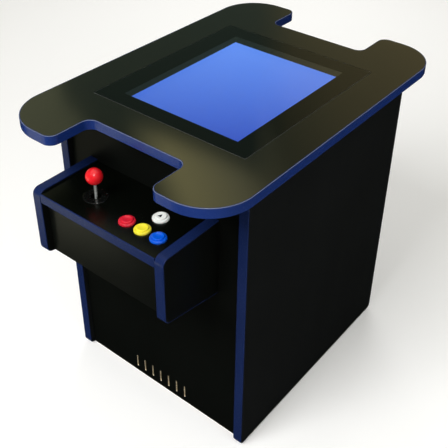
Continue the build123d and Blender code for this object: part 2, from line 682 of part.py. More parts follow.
with BuildPart() as stick_shaft:
    with BuildSketch(Plane.XY.offset(SHAFT_END)):
        Circle(SHAFT_RADIUS)
    extrude(amount=BALL_HEIGHT + SHAFT_IN_BALL - SHAFT_END)
    chamfer(stick_shaft.edges().filter_by(GeomType.CIRCLE), SHAFT_CHAMFER)
    with BuildSketch(Plane.XZ):
        with Locations((0, PIVOT)):
            Circle(PIVOT_PIN_RADIUS)
    extrude(amount=PIVOT_PIN_HALF, both=True)

with BuildPart() as stick_pivot:
    with BuildSketch(Plane.XY.offset(PIVOT)):
        Circle(RING[0])
    extrude(amount=RING[2] / 2, both=True)
    with BuildSketch(Plane.YZ):
        with Locations((0, PIVOT)):
            Circle(TRUNNION_RADIUS)
    extrude(amount=TRUNNION_HALF, both=True)
    with BuildSketch(Plane.XY.offset(PIVOT)):
        Circle(RING[1])
    extrude(amount=RING[2] / 2, both=True, mode=Mode.SUBTRACT)
    with BuildSketch(Plane.XZ):
        with Locations((0, PIVOT)):
            Circle(PIVOT_PIN_RADIUS + RUNNING_PLAY)
    extrude(amount=RING[0], both=True, mode=Mode.SUBTRACT)

with BuildPart() as stick_actuator:
    with BuildSketch(Plane.XY.offset(ACTUATOR_TOP)):
        Circle(ACTUATOR[0])
        Circle(SHAFT_RADIUS + SEAT_PLAY, mode=Mode.SUBTRACT)
    extrude(amount=-ACTUATOR[1])
    lower_rim = stick_actuator.faces().sort_by(Axis.Z)[0].edges().sort_by(SortBy.RADIUS)[-1]
    chamfer(lower_rim, ACTUATOR_CHAMFER)

with BuildPart() as stick_spring:
    spring_base = Plane.XY.offset(ACTUATOR_TOP + SPRING_WIRE)
    with BuildLine(spring_base) as coil:
        Helix(SPRING_PITCH, SPRING_HEIGHT, SPRING_RADIUS)
    with BuildSketch(Plane(origin=coil.line @ 0, z_dir=coil.line % 0)):
        Circle(SPRING_WIRE)
    sweep(path=coil.line, is_frenet=True)

with BuildPart() as dust_washer:
    with BuildSketch(Plane.XY.offset(WASHER_LIFT)):
        Circle(WASHER[0])
        Circle(WASHER[1], mode=Mode.SUBTRACT)
    extrude(amount=WASHER[2])
    upper_rim = dust_washer.faces().sort_by(Axis.Z)[-1].edges().sort_by(SortBy.RADIUS)[-1]
    fillet(upper_rim, WASHER_ROUND)

with BuildPart() as stick_plate:
    with BuildSketch(Plane.XY.offset(-BOARD)):
        RectangleRounded(STICK_PLATE[0], STICK_PLATE[1], STICK_PLATE_RADIUS)
        Circle(PANEL_HOLE_RADIUS, mode=Mode.SUBTRACT)
        with GridLocations(STICK_SCREWS[0], STICK_SCREWS[1], 2, 2):
            Circle(pilot_radius, mode=Mode.SUBTRACT)
    extrude(amount=-STICK_PLATE[2])

gate_top = SHAFT_END + GATE_RISE
post_inner = RING[0] + POST_GAP
post_top = plate_bottom - STICK_BOX_TOP / 2
box_space = STICK_BOX[0] - 2 * STICK_BOX[1]
with BuildPart() as stick_housing:
    with BuildSketch(Plane.XY.offset(plate_bottom)):
        RectangleRounded(STICK_BOX[0], STICK_BOX[0], STICK_PLATE_RADIUS)
    extrude(amount=gate_top - plate_bottom)
    with BuildSketch(Plane.XY.offset(plate_bottom - STICK_BOX_TOP)):
        RectangleRounded(box_space, box_space, STICK_PLATE_RADIUS / 2)
    extrude(amount=gate_top - plate_bottom, mode=Mode.SUBTRACT)
    with BuildSketch(Plane.XY.offset(plate_bottom)):
        Circle(PANEL_HOLE_RADIUS)
    extrude(amount=-STICK_BOX_TOP, mode=Mode.SUBTRACT)
    with BuildSketch(Plane.XY.offset(post_top)):
        with Locations((post_inner, 0)):
            Rectangle(POST[0], POST[1], align=(Align.MIN, Align.CENTER))
        with Locations((-post_inner, 0)):
            Rectangle(POST[0], POST[1], align=(Align.MAX, Align.CENTER))
    extrude(amount=PIVOT - POST_BELOW - post_top)
    with BuildSketch(Plane.YZ):
        with Locations((0, PIVOT)):
            Circle(TRUNNION_RADIUS + RUNNING_PLAY)
    extrude(amount=TRUNNION_HALF + HOLE_ROOM, both=True, mode=Mode.SUBTRACT)

with BuildPart() as stick_gate:
    with BuildSketch(Plane.XY.offset(gate_top)):
        RectangleRounded(STICK_BOX[0], STICK_BOX[0], STICK_PLATE_RADIUS)
        Rectangle(GATE[1], GATE[1], mode=Mode.SUBTRACT)
    extrude(amount=-GATE[0])

with BuildPart() as stick_switch_ring:
    # Four microswitches face the actuator, each with its contact button towards the stick.
    for turn in range(4):
        face = Plane.XZ.rotated((0, 0, 90 * turn))
        with BuildSketch(face.offset(STICK_SWITCH_OUT)):
            with Locations((0, ACTUATOR_TOP - STICK_SWITCH_DROP)):
                Rectangle(STICK_SWITCH[0], STICK_SWITCH[1])
        extrude(amount=STICK_SWITCH[2])
        with BuildSketch(face.offset(STICK_SWITCH_OUT)):
            with Locations((0, ACTUATOR_TOP - CONTACT_DROP)):
                Rectangle(CONTACT[0], CONTACT[0])
        extrude(amount=-CONTACT[1])

STICK_GROUPS = {
    "dust_washers": dust_washer,
    "stick_plates": stick_plate,
    "stick_housings": stick_housing,
    "stick_gates": stick_gate,
    "stick_switches": stick_switch_ring,
}
STICK_MOVERS = {
    "stick_ball": stick_ball,
    "stick_shaft": stick_shaft,
    "stick_pivot": stick_pivot,
    "stick_actuator": stick_actuator,
    "stick_spring": stick_spring,
}


def seat(turn, place):
    """Location of a control: on the playing surface at a place, turned to its player's side."""
    return Location((0, 0, 0), (0, 0, turn)) * Location((place[0], place[1], PANEL_TOP))


for name, piece in STICK_GROUPS.items():
    with BuildPart() as group:
        for turn in STATIONS.values():
            add(piece.part.moved(seat(turn, STICK_PLACE)))
    group.part.label = name
    export_step(group.part, f"parts/{name}.step")

for player, turn in STATIONS.items():
    for name, piece in STICK_MOVERS.items():
        mover = piece.part.moved(seat(turn, STICK_PLACE))
        mover.label = f"{player}_{name}"
        export_step(mover, f"parts/{player}_{name}.step")


# ---------------------------------------------------------------- push buttons, local origin on the panel
with BuildPart() as button_housing:
    with BuildSketch(Plane.XY):
        Circle(RIM[0])
    extrude(amount=RIM[1])
    fillet(button_housing.faces().sort_by(Axis.Z)[-1].edges(), RIM_ROUND)
    with BuildSketch(Plane.XY):
        Circle(BARREL_RADIUS)
    extrude(amount=BARREL_END)
    with BuildSketch(Plane.XY.offset(BORE_FLOOR)):
        Circle(BORE_RADIUS)
    extrude(amount=RIM[1] - BORE_FLOOR, mode=Mode.SUBTRACT)
    with BuildSketch(Plane.XY.offset(BARREL_END)):
        Circle(STEM_RADIUS + SLIDING_PLAY)
    extrude(amount=BORE_FLOOR - BARREL_END, mode=Mode.SUBTRACT)

with BuildPart() as plunger:
    with BuildSketch(Plane.XY.offset(CROWN_END)):
        Circle(BORE_RADIUS - SLIDING_PLAY)
    extrude(amount=BUTTON_PROUD - CROWN_END)
    fillet(plunger.faces().sort_by(Axis.Z)[-1].edges(), CROWN_ROUND)
    with BuildSketch(Plane.XZ):
        # A shallow dish for the fingertip.
        with Locations((0, BUTTON_PROUD - DISH[1] + DISH[0])):
            Circle(DISH[0])
        Rectangle(2 * DISH[0], 6 * DISH[0], align=(Align.MAX, Align.CENTER), mode=Mode.SUBTRACT)
    revolve(axis=Axis.Z, mode=Mode.SUBTRACT)
    with BuildSketch(Plane.XY.offset(CROWN_END)):
        Circle(STEM_RADIUS)
    extrude(amount=STEM_END - CROWN_END)

with BuildPart() as button_nut:
    with BuildSketch(Plane.XY.offset(-BOARD)):
        Circle(NUT[0])
        with PolarLocations(NUT[0] + NUT_GRIP[1], NUT_GRIP_COUNT):
            Circle(NUT_GRIP[0], mode=Mode.SUBTRACT)
        Circle(BARREL_RADIUS + RUNNING_PLAY, mode=Mode.SUBTRACT)
    extrude(amount=-NUT[1])

with BuildPart() as button_switch:
    with BuildSketch(Plane.XY.offset(BARREL_END)):
        Rectangle(SWITCH[0], SWITCH[1])
    extrude(amount=-SWITCH[2])
    with BuildSketch(Plane.XY.offset(BARREL_END - SWITCH[2])):
        with GridLocations(TERMINAL_PITCH, 0, TERMINAL_COUNT, 1):
            Rectangle(TERMINAL[0], TERMINAL[1])
    extrude(amount=-TERMINAL[2])

for colour, place in BUTTON_PLACES.items():
    with BuildPart() as housings:
        for turn in STATIONS.values():
            add(button_housing.part.moved(seat(turn, place)))
    housings.part.label = f"{colour}_button_housings"
    export_step(housings.part, f"parts/{colour}_button_housings.step")
    for player, turn in STATIONS.items():
        mover = plunger.part.moved(seat(turn, place))
        mover.label = f"{player}_{colour}_plunger"
        export_step(mover, f"parts/{player}_{colour}_plunger.step")

for name, piece in {"button_nuts": button_nut, "button_switches": button_switch}.items():
    with BuildPart() as group:
        for turn in STATIONS.values():
            for place in BUTTON_PLACES.values():
                add(piece.part.moved(seat(turn, place)))
    group.part.label = name
    export_step(group.part, f"parts/{name}.step")


# ---------------------------------------------------------------- mains inlet and its rocker switch
rocker_plane = Plane(
    origin=inlet_plane.from_local_coords((0, ROCKER_RISE, 0)), x_dir=(0, 0, 1), z_dir=(1, 0, 0)
)

with BuildPart() as power_inlet:
    with BuildSketch(inlet_plane):
        Rectangle(INLET_BODY[0], INLET_BODY[1])
    extrude(amount=-INLET_BODY[2])
    with BuildSketch(inlet_plane):
        RectangleRounded(INLET_FLANGE[0], INLET_FLANGE[1], INLET_RADIUS)
    extrude(amount=INLET_FLANGE[2])
    chamfer(power_inlet.faces().sort_by(Axis.Y)[-1].edges(), INLET_CHAMFER)
    with BuildSketch(inlet_plane.offset(INLET_FLANGE[2])) as socket:
        with Locations((0, -SOCKET_DROP)):
            Rectangle(SOCKET[0], SOCKET[1])
        chamfer(socket.vertices().group_by(Axis.Y)[0], SOCKET_CHAMFER)
    extrude(amount=-SOCKET[2] - INLET_FLANGE[2], mode=Mode.SUBTRACT)
    with BuildSketch(inlet_plane.offset(-SOCKET[2])):
        with Locations(*[(x, y - SOCKET_DROP) for x, y in SOCKET_PIN_PLACES]):
            Rectangle(SOCKET_PIN[0], SOCKET_PIN[1])
    extrude(amount=SOCKET[2] - SOCKET_PIN_SHORT)
    with BuildSketch(inlet_plane.offset(INLET_FLANGE[2])):
        with Locations((0, ROCKER_RISE)):
            Rectangle(ROCKER_WIDTH + 2 * ROCKER_PLAY, 2 * (ROCKER_RADIUS + ROCKER_PLAY))
    extrude(amount=-INLET_FLANGE[2] - ROCKER_RADIUS, mode=Mode.SUBTRACT)
    with BuildSketch(rocker_plane):
        Circle(ROCKER_PIN[0] + RUNNING_PLAY)
    extrude(amount=ROCKER_WIDTH / 2 + ROCKER_PIN[1] + ROCKER_PIN_PLAY, both=True, mode=Mode.SUBTRACT)
power_inlet.part.label = "power_inlet"
export_step(power_inlet.part, "parts/power_inlet.step")

with BuildPart() as power_rocker:
    with BuildSketch(rocker_plane):
        # The local y axis points into the cabinet.
        Circle(ROCKER_RADIUS)
        with Locations((0, (ROCKER_BACK - ROCKER_PROUD) / 2)):
            Rectangle(2 * ROCKER_RADIUS, ROCKER_PROUD + ROCKER_BACK, mode=Mode.INTERSECT)
    extrude(amount=ROCKER_WIDTH / 2, both=True)
    with BuildSketch(rocker_plane):
        Circle(ROCKER_PIN[0])
    extrude(amount=ROCKER_WIDTH / 2 + ROCKER_PIN[1], both=True)
power_rocker.part.label = "power_rocker"
export_step(power_rocker.part, "parts/power_rocker.step")


# ---------------------------------------------------------------- electronics inside the cabinet
with BuildPart() as game_board:
    with BuildSketch(Plane.XY.offset(floor_top)):
        with GridLocations(PCB[0] - 2 * STANDOFF_INSET, PCB[1] - 2 * STANDOFF_INSET, 2, 2):
            Circle(STANDOFF[0])
    extrude(amount=STANDOFF[1])
    with BuildSketch(Plane.XY.offset(floor_top + STANDOFF[1])):
        Rectangle(PCB[0], PCB[1])
    extrude(amount=PCB[2])
    with BuildSketch(Plane.XY.offset(pcb_top)):
        with Locations((PROCESSOR_X, 0)):
            Rectangle(PROCESSOR, PROCESSOR)
        with Locations((MEMORY_X, 0)):
            with GridLocations(0, MEMORY_PITCH, 1, MEMORY_COUNT):
                Rectangle(MEMORY[0], MEMORY[1])
    extrude(amount=CHIP_HEIGHT)
    with BuildSketch(Plane.XY.offset(pcb_top + CHIP_HEIGHT)):
        with Locations((PROCESSOR_X, 0)):
            with GridLocations(FIN_PITCH, 0, FIN_COUNT, 1):
                Rectangle(FIN[0], FIN[1])
    extrude(amount=FIN[2])
    with BuildSketch(Plane.XY.offset(pcb_top)):
        with PolarLocations(0, 2):
            with Locations(CONNECTOR_PLACE):
                Rectangle(CONNECTOR[0], CONNECTOR[1])
    extrude(amount=CONNECTOR[2])
game_board.part.label = "game_board"
export_step(game_board.part, "parts/game_board.step")

with BuildPart() as power_supply:
    with BuildSketch(Plane.XY.offset(floor_top)):
        with Locations((supply_x, 0)):
            Rectangle(POWER_SUPPLY[0], POWER_SUPPLY[1])
    extrude(amount=POWER_SUPPLY[2])
    fillet(power_supply.edges().filter_by(Axis.Z), SUPPLY_RADIUS)
    with BuildSketch(Plane.XY.offset(floor_top + POWER_SUPPLY[2])):
        with Locations((supply_x, 0)):
            with GridLocations(SUPPLY_VENT_PITCH, SUPPLY_VENT_PITCH, *SUPPLY_VENT_COUNTS):
                Circle(SUPPLY_VENT[0])
    extrude(amount=-SUPPLY_VENT[1], mode=Mode.SUBTRACT)
power_supply.part.label = "power_supply"
export_step(power_supply.part, "parts/power_supply.step")

speaker_plane = Plane(origin=(SPEAKER_PLACE[0], -end_inner, SPEAKER_PLACE[1]), z_dir=(0, 1, 0))
with BuildPart() as speaker:
    with BuildSketch(speaker_plane):
        Circle(SPEAKER_FLANGE[0])
    extrude(amount=SPEAKER_FLANGE[1])
    with BuildSketch(speaker_plane.offset(SPEAKER_FLANGE[1])):
        Circle(SPEAKER_CONE[0])
    with BuildSketch(speaker_plane.offset(SPEAKER_CONE[2])):
        Circle(SPEAKER_CONE[1])
    loft()
    with BuildSketch(speaker_plane.offset(SPEAKER_CONE[2])):
        Circle(SPEAKER_MAGNET[0])
    extrude(amount=SPEAKER_MAGNET[1])
speaker.part.label = "speaker"
export_step(speaker.part, "parts/speaker.step")

harness_start = (-CONNECTOR_PLACE[0], -CONNECTOR_PLACE[1], pcb_top + CONNECTOR[2] + HARNESS_RADIUS)
port_middle = (0, -(end_outer + end_inner) / 2, PORT_HEIGHT)
with BuildPart() as one_harness:
    with BuildLine() as cable:
        Spline(harness_start, *HARNESS_WAY, port_middle, HARNESS_END)
    with BuildSketch(Plane(origin=cable.line @ 0, z_dir=cable.line % 0)):
        Circle(HARNESS_RADIUS)
    sweep(path=cable.line)

with BuildPart() as wiring_harness:
    with PolarLocations(0, 2):
        add(one_harness.part)
wiring_harness.part.label = "wiring_harness"
export_step(wiring_harness.part, "parts/wiring_harness.step")


# ---------------------------------------------------------------- screws in the body and control boxes
with BuildPart() as fixing_screws:
    for turn in STATIONS.values():
        for x in (-STICK_SCREWS[0] / 2, STICK_SCREWS[0] / 2):
            for y in (-STICK_SCREWS[1] / 2, STICK_SCREWS[1] / 2):
                hole = (STICK_PLACE[0] + x, STICK_PLACE[1] + y)
                add(screw.part.moved(seat(turn, hole) * Location((0, 0, plate_bottom))))
    for y in frame_screw_ys:
        leaf_face = Plane(origin=(-side_outer - LEAF, y, hinge_screw_z), z_dir=(1, 0, 0))
        add(screw.part.moved(leaf_face.location))
fixing_screws.part.label = "fixing_screws"
export_step(fixing_screws.part, "parts/fixing_screws.step")
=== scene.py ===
import math

import bmesh
import bpy
from mathutils import Matrix, Vector


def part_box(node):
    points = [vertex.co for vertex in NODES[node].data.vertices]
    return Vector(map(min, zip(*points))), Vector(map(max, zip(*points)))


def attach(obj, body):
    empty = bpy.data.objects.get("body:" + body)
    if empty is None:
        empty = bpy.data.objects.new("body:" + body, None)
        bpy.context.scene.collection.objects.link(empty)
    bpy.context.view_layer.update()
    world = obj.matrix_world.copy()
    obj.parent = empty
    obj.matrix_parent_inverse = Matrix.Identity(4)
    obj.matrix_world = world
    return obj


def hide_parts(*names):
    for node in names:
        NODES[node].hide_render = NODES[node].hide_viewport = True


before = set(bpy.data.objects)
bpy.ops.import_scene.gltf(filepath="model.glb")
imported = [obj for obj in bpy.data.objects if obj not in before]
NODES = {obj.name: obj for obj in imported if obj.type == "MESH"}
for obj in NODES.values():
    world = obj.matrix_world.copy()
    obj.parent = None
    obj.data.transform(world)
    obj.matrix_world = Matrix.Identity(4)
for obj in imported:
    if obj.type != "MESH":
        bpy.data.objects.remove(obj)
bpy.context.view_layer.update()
MM = 0.001


# ---------------------------------------------------------------- node trees in short words
class Surface:
    """A new material and short ways to build its node tree. Colours are linear RGB."""

    def __init__(self, name, **inputs):
        self.material = bpy.data.materials.new(name)
        self.material.use_nodes = True
        self.tree = self.material.node_tree
        self.shader = self.tree.nodes["Principled BSDF"]
        self.output = self.tree.nodes["Material Output"]
        for key, value in inputs.items():
            self.set(self.shader, key.replace("_", " "), value)

    def set(self, node, key, value):
        """Give an input a fixed value, or link it if the value is a socket."""
        if isinstance(value, bpy.types.NodeSocket):
            self.tree.links.new(value, node.inputs[key])
        elif isinstance(value, tuple) and len(value) == 3 and len(node.inputs[key].default_value) == 4:
            node.inputs[key].default_value = (*value, 1.0)
        else:
            node.inputs[key].default_value = value

    def node(self, kind, settings=None, **inputs):
        """Add a node. An input goes by its name, with _ for a space, or by its number, as in i0."""
        made = self.tree.nodes.new(kind)
        for key, value in (settings or {}).items():
            setattr(made, key, value)
        for key, value in inputs.items():
            self.set(made, int(key[1:]) if key[1:].isdigit() else key.replace("_", " "), value)
        return made

    def place(self, output="Object"):
        return self.node("ShaderNodeTexCoord").outputs[output]

    def stretched(self, scale):
        """Rest-pose coordinates stretched by a factor per axis."""
        return self.node("ShaderNodeMapping", Vector=self.place(), Scale=scale).outputs[0]

    def noise(self, scale, detail=2.0, roughness=0.5, vector=None):
        made = self.node(
            "ShaderNodeTexNoise",
            Vector=vector or self.place(), Scale=scale, Detail=detail, Roughness=roughness,
        )
        return made.outputs["Fac"]

    def cells(self, scale, feature="F1", vector=None):
        made = self.node(
            "ShaderNodeTexVoronoi", {"feature": feature}, Vector=vector or self.place(), Scale=scale
        )
        return made.outputs["Distance"]

    def spread(self, value, low, high, from_low=0.0, from_high=1.0):
        """Map a value to a range, clamped."""
        made = self.node("ShaderNodeMapRange", Value=value)
        made.inputs["From Min"].default_value = from_low
        made.inputs["From Max"].default_value = from_high
        made.inputs["To Min"].default_value = low
        made.inputs["To Max"].default_value = high
        return made.outputs[0]

    def math(self, operation, a, b=0.0):
        return self.node("ShaderNodeMath", {"operation": operation}, i0=a, i1=b).outputs[0]

    def mix(self, factor, a, b, blend="MIX"):
        made = self.node("ShaderNodeMix", {"data_type": "RGBA", "blend_type": blend})
        self.set(made, "Factor", factor)
        for socket, value in ((made.inputs[6], a), (made.inputs[7], b)):
            if isinstance(value, bpy.types.NodeSocket):
                self.tree.links.new(value, socket)
            else:
                socket.default_value = (*value, 1.0)
        return made.outputs[2]

    def bump(self, height, strength, distance):
        """Feed a height into the shader's normal. The distance is in metres."""
        made = self.node("ShaderNodeBump", Height=height, Strength=strength, Distance=distance)
        self.set(self.shader, "Normal", made.outputs[0])

    def facing(self, axis):
        """How far a rest-pose normal points along an axis, from -1 to 1."""
        return self.node(
            "ShaderNodeVectorMath", {"operation": "DOT_PRODUCT"}, i0=self.place("Normal"), i1=axis
        ).outputs["Value"]

    def axis(self, letter):
        parts = self.node("ShaderNodeSeparateXYZ", Vector=self.place())
        return parts.outputs[letter]


# ---------------------------------------------------------------- board materials
# The laminate is one black. The side panels' copy is painted lighter (painted light); the top's and the
# control panels' copies are painted darker (painted shade).
BLACK = (0.0026, 0.0031, 0.0026)
PAINTED_SHADED_TOP_BLACK = (0.0015, 0.0018, 0.0012)
PAINTED_LIT_SIDE_BLACK = (0.0058, 0.0064, 0.0068)
PAINTED_SHADED_PANEL_BLACK = (0.0009, 0.0013, 0.0008)
FIBRE_LIGHT = (0.47, 0.33, 0.20)
FIBRE_DARK = (0.30, 0.20, 0.115)
# bare fibreboard painted lighter for the vent walls: painted light
VENT_FIBRE_PAINTED_LIGHT = (0.66, 0.59, 0.44)
VENT_TOP = 60 * MM


def fibreboard_colour(s):
    """Bare fibreboard: fine fibres over soft patches."""
    fine = s.noise(900.0, detail=3.0)
    patches = s.noise(25.0, detail=4.0)
    return s.mix(s.math("MULTIPLY", fine, patches), FIBRE_LIGHT, FIBRE_DARK)


def fibreboard():
    s = Surface("fibreboard", Roughness=0.85)
    s.set(s.shader, "Base Color", fibreboard_colour(s))
    s.set(s.shader, "Specular IOR Level", 0.25)
    s.bump(s.noise(1200.0, detail=3.0), 0.4, 0.2 * MM)
    return s.material


def laminate(name, raw_face=None, roughness=0.36, specular=0.5, black=BLACK, coat=0.0, vents=False):
    """Satin black laminate. The face that looks into the cabinet along `raw_face` is bare fibreboard,
    and so are the walls of the vents, which get a lighter fibreboard colour as painted light."""
    s = Surface(name, Coat_Weight=coat, Coat_Roughness=0.09)
    pebble = s.math("ADD", s.cells(650.0), s.math("MULTIPLY", s.noise(1500.0), 0.5))
    cloud = s.noise(5.0, detail=3.0)
    smear = s.noise(1.0, detail=5.0, vector=s.stretched((9.0, 9.0, 2.5)))
    colour = s.mix(cloud, black, tuple(1.6 * c for c in black))
    gloss = s.spread(smear, roughness - 0.03, roughness + 0.05, 0.3, 0.7)
    if raw_face:
        inner_x, inner_y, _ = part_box("bottom_panel")[1]
        within_x = s.math("LESS_THAN", s.math("ABSOLUTE", s.axis("X")), inner_x + MM)
        within_y = s.math("LESS_THAN", s.math("ABSOLUTE", s.axis("Y")), inner_y + MM)
        inward = s.math("GREATER_THAN", s.facing(raw_face), 0.25)
        raw = s.math("MULTIPLY", inward, s.math("MULTIPLY", within_x, within_y))
        if vents:
            across = s.math("LESS_THAN", s.math("ABSOLUTE", s.facing(raw_face)), 0.25)
            low = s.math("LESS_THAN", s.axis("Z"), VENT_TOP)
            vent_walls = s.math("MULTIPLY", across, low)
            raw = s.math("MAXIMUM", raw, vent_walls)
        colour = s.mix(raw, colour, fibreboard_colour(s))
        if vents:
            # painted light: the vent walls get a lighter fibreboard colour than the other bare faces, as
            # if lit
            colour = s.mix(vent_walls, colour, VENT_FIBRE_PAINTED_LIGHT)
        gloss = s.math("MAXIMUM", gloss, s.math("MULTIPLY", raw, 0.8))
    s.set(s.shader, "Base Color", colour)
    s.set(s.shader, "Roughness", gloss)
    s.set(s.shader, "Specular IOR Level", specular)
    s.bump(pebble, 0.06, 0.10 * MM)
    return s.material


# ---------------------------------------------------------------- plastics
def gloss_plastic(name, colour, roughness=0.12):
    """Injection-moulded part: flow marks in the gloss and faint colour drift."""
    s = Surface(name, IOR=1.49, Coat_Weight=0.4, Coat_Roughness=0.05)
    drift = s.noise(60.0, detail=3.0)
    s.set(s.shader, "Base Color", s.mix(drift, colour, tuple(0.82 * c for c in colour)))
    flow = s.noise(220.0, detail=4.0)
    s.set(s.shader, "Roughness", s.spread(flow, roughness, roughness + 0.12, 0.35, 0.65))
    s.set(s.shader, "Subsurface Weight", 0.15)
    s.set(s.shader, "Subsurface Radius", (2 * MM, 1 * MM, 1 * MM))
    s.set(s.shader, "Subsurface Scale", 1.0)
    s.bump(s.noise(700.0, detail=2.0), 0.05, 0.05 * MM)
    return s.material


def matte_plastic(name, colour, grain=1400.0, roughness=0.5, specular=0.5):
    """Spark-eroded black moulding with a fine grain."""
    s = Surface(name)
    s.set(s.shader, "Specular IOR Level", specular)
    s.set(s.shader, "Base Color", s.mix(s.noise(80.0, detail=4.0), colour, tuple(1.7 * c for c in colour)))
    s.set(s.shader, "Roughness", s.spread(s.noise(300.0), roughness - 0.08, roughness + 0.12))
    s.bump(s.cells(grain), 0.25, 0.08 * MM)
    return s.material


def vinyl_molding(name, blue, coat=0.1, rim=0.0):
    """Extruded blue edge molding, semi-gloss, with faint draw waves and scuffs.
    A rim above 0 adds a painted highlight along its rounded top edge.
    """
    s = Surface(name, Coat_Weight=coat, Coat_Roughness=0.2)
    s.set(s.shader, "Specular IOR Level", 0.2)
    shade = s.noise(14.0, detail=4.0)
    scuff = s.spread(s.noise(420.0, detail=6.0, roughness=0.7), 0.0, 1.0, 0.60, 0.75)
    colour = s.mix(shade, blue, tuple(1.35 * c for c in blue))
    # painted highlight: the rounded top edge is mixed towards pale grey, as if it caught the light; rim
    # sets how far
    if rim:
        up = s.facing((0, 0, 1))
        off_upright = s.spread(up, 0.0, 1.0, 0.25, 0.5)
        off_level = s.spread(up, 1.0, 0.0, 0.93, 0.99)
        painted_rim_highlight = s.math("MULTIPLY", off_upright, off_level)
        colour = s.mix(s.math("MULTIPLY", painted_rim_highlight, rim), colour, (0.17, 0.19, 0.24))
    s.set(s.shader, "Base Color", colour)
    s.set(s.shader, "Roughness", s.spread(scuff, 0.27, 0.42))
    s.bump(s.noise(180.0, detail=3.0), 0.06, 0.15 * MM)
    return s.material


def start_cap(name, colour, middle, side):
    """White plunger with a plain wedge printed on its top. `side` is 1 or -1, the player's end."""
    s = Surface(name, IOR=1.49, Coat_Weight=0.4, Coat_Roughness=0.05, Roughness=0.14)
    across = s.math("MULTIPLY", s.math("SUBTRACT", s.axis("X"), middle[0]), side)
    along = s.math("MULTIPLY", s.math("SUBTRACT", s.axis("Y"), middle[1]), side)
    back, point, half = -4.0 * MM, 5.0 * MM, 4.2 * MM
    width = s.spread(along, half, 0.0, back, point)
    wedge = s.math("LESS_THAN", s.math("ABSOLUTE", across), width)
    after = s.math("GREATER_THAN", along, back)
    up = s.math("GREATER_THAN", s.facing((0, 0, 1)), 0.8)
    print_mask = s.math("MULTIPLY", wedge, s.math("MULTIPLY", after, up))
    drift = s.mix(s.noise(60.0, detail=3.0), colour, tuple(0.85 * c for c in colour))
    s.set(s.shader, "Base Color", s.mix(print_mask, drift, (0.02, 0.022, 0.03)))
    s.bump(s.noise(700.0, detail=2.0), 0.05, 0.05 * MM)
    return s.material


HEAT_SINK_TOP = 19.0 * MM       # above the board
HEAT_SINK_HALF = 22.0 * MM      # from the board's middle to beyond the fins
CHIP_TOP = 5.2 * MM             # just above the chips
PLUG_BAND = 16.0 * MM           # strip along each long edge that holds the connectors


def circuit_board():
    """Green board with copper runs, black chips, a bare metal heat sink and pale connectors."""
    s = Surface("circuit_board")
    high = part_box("game_board")[1]
    pcb_top = high[2] - HEAT_SINK_TOP
    x, y, z = s.axis("X"), s.axis("Y"), s.axis("Z")
    runs = s.cells(160.0, feature="DISTANCE_TO_EDGE", vector=s.stretched((1.0, 0.35, 1.0)))
    copper = s.spread(runs, 1.0, 0.0, 0.03, 0.07)
    green = s.mix(copper, (0.008, 0.085, 0.035), (0.03, 0.22, 0.085))
    chip = s.mix(s.noise(300.0), (0.010, 0.010, 0.011), (0.022, 0.022, 0.024))
    above = s.math("GREATER_THAN", z, pcb_top + 0.2 * MM)
    fins = s.math("GREATER_THAN", z, pcb_top + CHIP_TOP)
    from_middle = s.math("ABSOLUTE", y)
    plug = s.math("MULTIPLY", above, s.math("GREATER_THAN", from_middle, high[1] - PLUG_BAND))
    bare = s.math("MULTIPLY", fins, s.math("LESS_THAN", from_middle, HEAT_SINK_HALF))
    colour = s.mix(above, green, chip)
    colour = s.mix(bare, colour, s.mix(s.noise(200.0), (0.52, 0.53, 0.55), (0.38, 0.39, 0.41)))
    colour = s.mix(plug, colour, (0.62, 0.58, 0.46))
    s.set(s.shader, "Base Color", colour)
    s.set(s.shader, "Metallic", bare)
    s.set(s.shader, "Roughness", s.spread(s.noise(400.0), 0.28, 0.45))
    s.bump(copper, 0.3, 0.04 * MM)
    return s.material


SPEAKER_MAGNET = 14.5 * MM      # depth of the magnet behind the basket


def speaker_paint():
    """Zinc basket with a black magnet behind it."""
    s = Surface("speaker_paint")
    magnet_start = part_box("speaker")[1][1] - SPEAKER_MAGNET
    magnet = s.math("GREATER_THAN", s.axis("Y"), magnet_start)
    zinc = s.mix(s.cells(240.0), (0.50, 0.50, 0.49), (0.38, 0.38, 0.37))
    ferrite = s.mix(s.noise(200.0), (0.018, 0.017, 0.016), (0.035, 0.033, 0.031))
    s.set(s.shader, "Base Color", s.mix(magnet, zinc, ferrite))
    s.set(s.shader, "Metallic", s.math("SUBTRACT", 1.0, magnet))
    s.set(s.shader, "Roughness", s.spread(s.noise(300.0), 0.35, 0.55))
    return s.material


# ---------------------------------------------------------------- metals
def plated_steel(name, colour, roughness, spangle=240.0):
    s = Surface(name, Metallic=1.0)
    crystals = s.cells(spangle)
    s.set(s.shader, "Base Color", s.mix(crystals, colour, tuple(0.72 * c for c in colour)))
    s.set(s.shader, "Roughness", s.spread(s.noise(90.0, detail=5.0), roughness - 0.07, roughness + 0.12))
    s.bump(s.noise(900.0, detail=2.0), 0.08, 0.04 * MM)
    return s.material


def turned_steel(name, colour=(0.62, 0.62, 0.63), roughness=0.16, metallic=1.0):
    """Bright shaft with fine rings left by turning, and painted shade that darkens its sides."""
    s = Surface(name, Metallic=metallic)
    rings = s.noise(1.0, detail=3.0, vector=s.stretched((30.0, 30.0, 2600.0)))
    shade = s.mix(rings, colour, tuple(0.8 * c for c in colour))
    # painted shade: the colour falls to 0.12 of itself towards the outline, standing in for dark
    # surroundings reflected there
    aside = s.spread(s.node("ShaderNodeLayerWeight", Blend=0.5).outputs["Facing"], 0.0, 1.0, 0.15, 0.6)
    s.set(s.shader, "Base Color", s.mix(aside, shade, tuple(0.12 * c for c in colour)))
    s.set(s.shader, "Roughness", s.spread(rings, roughness - 0.04, roughness + 0.1))
    s.bump(rings, 0.05, 0.03 * MM)
    return s.material


